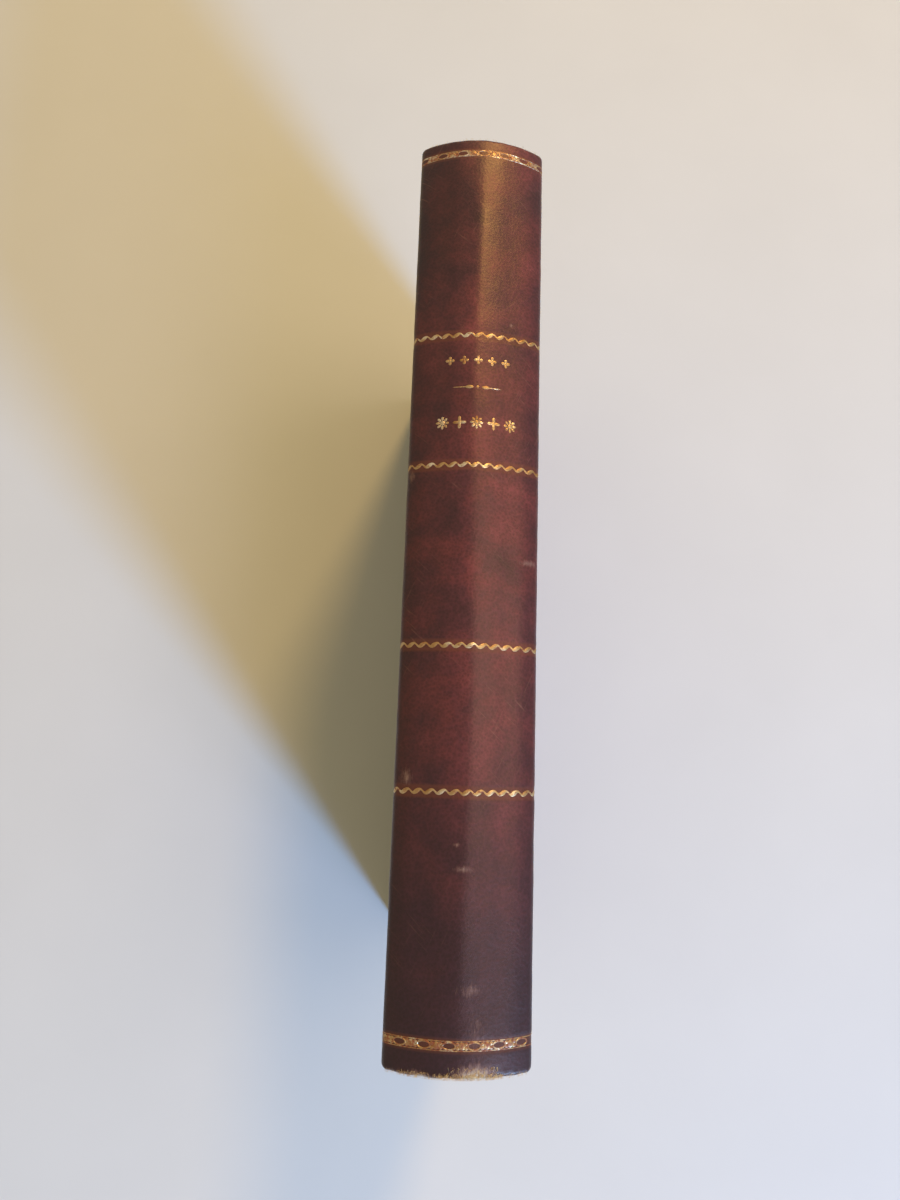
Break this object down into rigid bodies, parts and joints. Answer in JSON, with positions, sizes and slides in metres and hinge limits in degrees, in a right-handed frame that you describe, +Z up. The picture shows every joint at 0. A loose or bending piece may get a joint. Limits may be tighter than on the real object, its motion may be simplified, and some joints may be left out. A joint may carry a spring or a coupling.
{
  "type": "antique leather book",
  "caption": "Leather-bound book standing on its fore edges with the back up; rounded hollow back tooled in gold, covers that open about their joints",
  "frame": {"origin": "under the middle of the book, on the plane its fore edges stand on", "axes": "+X through the thickness towards the front cover, +Y along the back towards the head, +Z up from the fore edges to the back"},
  "size_m": [0.0274, 0.19, 0.1324],
  "materials": {
    "leather": "calendered sheepskin, mottled red-brown, semi-gloss",
    "gold": "gold leaf, worn",
    "leaves": "aged rag and wood paper, cut edges",
    "endpaper": "aged wove endpaper",
    "board": "grey-brown millboard",
    "lining": "brown lining paper and card",
    "cord": "hemp cord, plied",
    "mull": "open cotton mull, glued",
    "silk": "silk thread, wound"
  },
  "bodies": {
    "book_block": {"text_block": "leaves", "front_flyleaf": "endpaper", "back_flyleaf": "endpaper", "sewing_cords": "cord", "spine_mull": "mull", "headband": "silk", "tailband": "silk", "spine_lining": "lining", "spine_card": "lining", "spine_leather": "leather", "head_chain_roll": "gold", "wave_roll_1": "gold", "wave_roll_2": "gold", "wave_roll_3": "gold", "wave_roll_4": "gold", "tail_chain_roll": "gold", "small_ornaments": "gold", "ornamental_rule": "gold", "large_ornaments": "gold"},
    "front_cover": {"front_board": "board", "front_cord_slips": "cord", "front_leather": "leather", "front_pastedown": "endpaper"},
    "back_cover": {"back_board": "board", "back_cord_slips": "cord", "back_leather": "leather", "back_pastedown": "endpaper"}
  },
  "joints": [
    {"name": "front_cover_hinge", "type": "hinge", "parent": "book_block", "child": "front_cover", "pos_m": [0.0139, 0, 0.12515], "axis": [0, -1, 0], "range_deg": [0, 180]},
    {"name": "back_cover_hinge", "type": "hinge", "parent": "book_block", "child": "back_cover", "pos_m": [-0.0139, 0, 0.12515], "axis": [0, 1, 0], "range_deg": [0, 180]}
  ]
}
